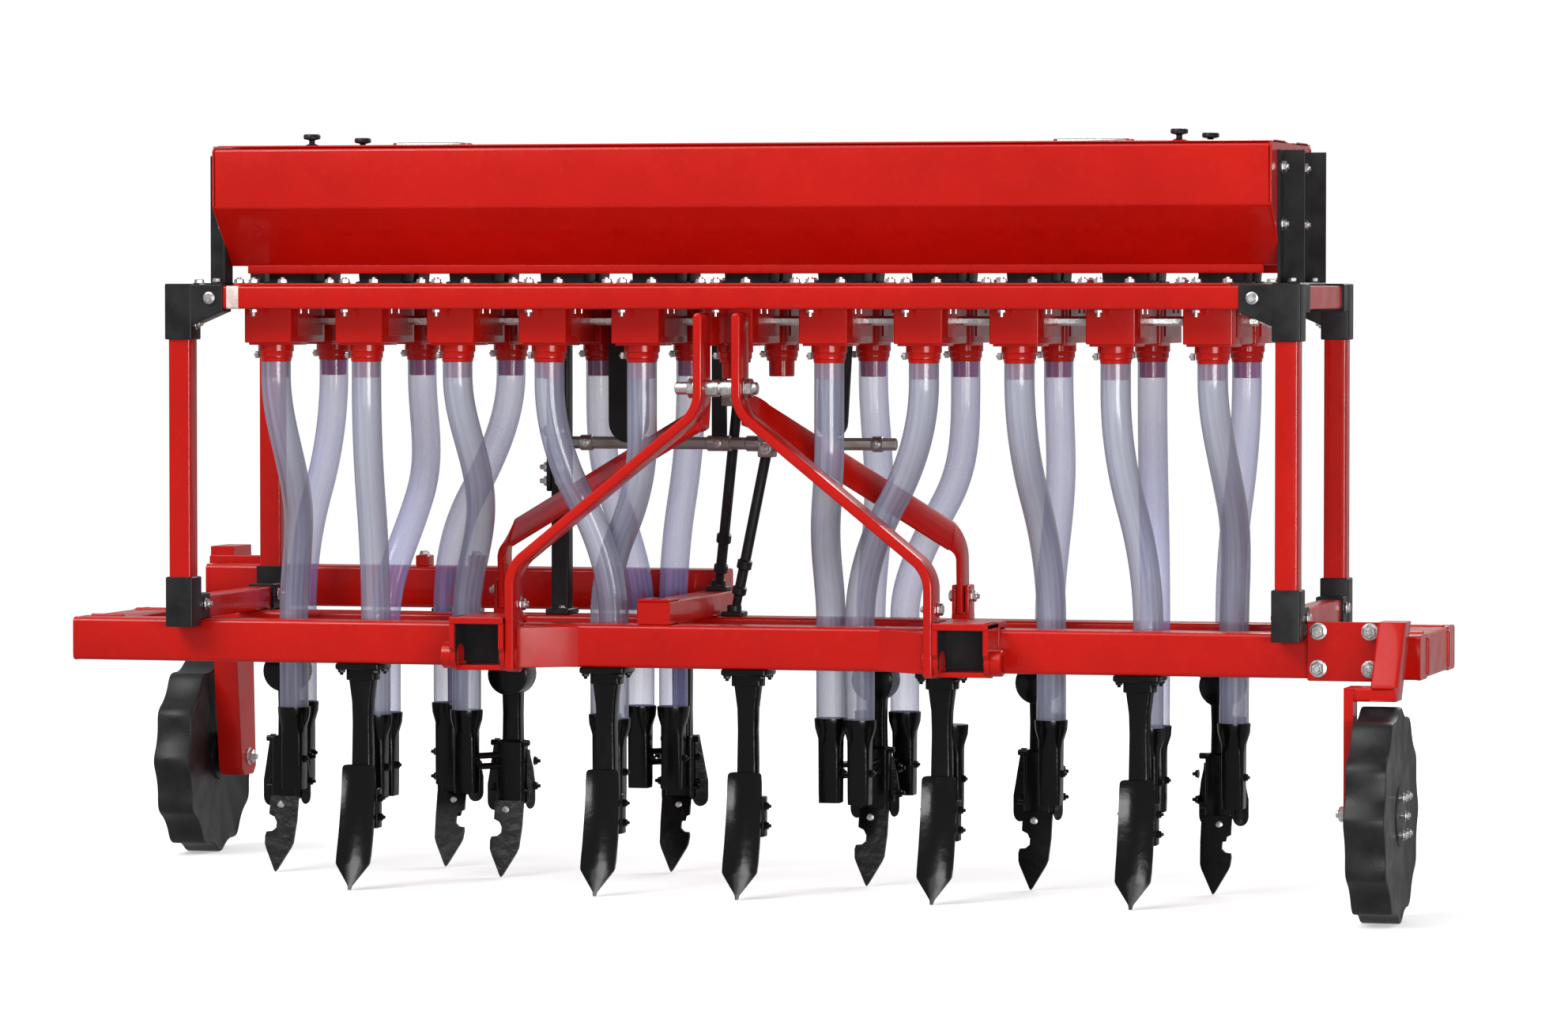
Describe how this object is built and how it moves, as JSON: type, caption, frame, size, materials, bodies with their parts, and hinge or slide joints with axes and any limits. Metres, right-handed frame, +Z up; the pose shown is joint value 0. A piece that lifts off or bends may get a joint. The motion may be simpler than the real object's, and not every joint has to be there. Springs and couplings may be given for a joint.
{
  "type": "tractor-mounted seed drill",
  "caption": "Tractor-mounted seed drill: box hopper with hinged lids over metering units, clear seed tubes down to pointed tines on a tube frame, with scalloped land wheels.",
  "frame": {"origin": "middle of the drill's footprint, on the ground", "axes": "+X along the beams to the right as seen from the tractor side, +Y to the rear, +Z up"},
  "size_m": [2.437, 1.148, 1.3243],
  "materials": {
    "red_paint": "gloss red enamel",
    "black_paint": "satin to gloss black enamel",
    "zinc": "zinc-plated",
    "clear_hose": "cloudy clear PVC"
  },
  "bodies": {
    "frame": {"front_beam": "red_paint", "middle_beam": "red_paint", "end_tube_left": "red_paint", "end_tube_right": "red_paint", "rear_beam": "red_paint", "centre_rail": "red_paint", "lower_rail_left": "red_paint", "lower_rail_right": "red_paint", "upper_rail_left": "red_paint", "upper_rail_right": "red_paint", "front_left_leg": "red_paint", "front_right_leg": "red_paint", "rear_left_leg": "red_paint", "rear_right_leg": "red_paint", "upper_front_beam": "red_paint", "upper_rear_beam": "red_paint", "hopper": "red_paint", "hopper_deck": "red_paint", "front_feed_units": "red_paint", "rear_feed_units": "red_paint", "clevis_left": "red_paint", "clevis_right": "red_paint", "mast_left": "red_paint", "mast_right": "red_paint", "brace_left": "red_paint", "brace_right": "red_paint", "left_wheel_arm": "red_paint", "right_wheel_arm": "red_paint", "upright_left": "black_paint", "upright_right": "black_paint", "drive_post": "black_paint", "tine_1": "black_paint", "tine_2": "black_paint", "tine_3": "black_paint", "tine_4": "black_paint", "tine_5": "black_paint", "tine_6": "black_paint", "tine_7": "black_paint", "tine_8": "black_paint", "tine_9": "black_paint", "tine_10": "black_paint", "tine_11": "black_paint", "tine_12": "black_paint", "top_link_pin": "zinc", "cross_bar": "zinc", "seed_tube_01": "clear_hose", "seed_tube_02": "clear_hose", "seed_tube_03": "clear_hose", "seed_tube_04": "clear_hose", "seed_tube_05": "clear_hose", "seed_tube_07": "clear_hose", "seed_tube_08": "clear_hose", "seed_tube_09": "clear_hose", "seed_tube_10": "clear_hose", "seed_tube_11": "clear_hose"},
    "left_wheel": {"left_wheel": "black_paint"},
    "right_wheel": {"right_wheel": "black_paint"},
    "front_lid": {"front_lid": "red_paint"},
    "rear_lid": {"rear_lid": "red_paint"}
  },
  "joints": [
    {"name": "left_wheel_spin", "type": "hinge", "parent": "frame", "child": "left_wheel", "pos_m": [-1.1785, 0.394, 0.18], "axis": [1, 0, 0], "continuous": true},
    {"name": "right_wheel_spin", "type": "hinge", "parent": "frame", "child": "right_wheel", "pos_m": [1.1775, -0.394, 0.18], "axis": [1, 0, 0], "continuous": true},
    {"name": "front_lid_hinge", "type": "hinge", "parent": "frame", "child": "front_lid", "pos_m": [0.0135, -0.0565, 1.307], "axis": [-1, 0, 0], "range_deg": [0, 80]},
    {"name": "rear_lid_hinge", "type": "hinge", "parent": "frame", "child": "rear_lid", "pos_m": [0.0135, -0.0165, 1.307], "axis": [1, 0, 0], "range_deg": [0, 80]}
  ]
}
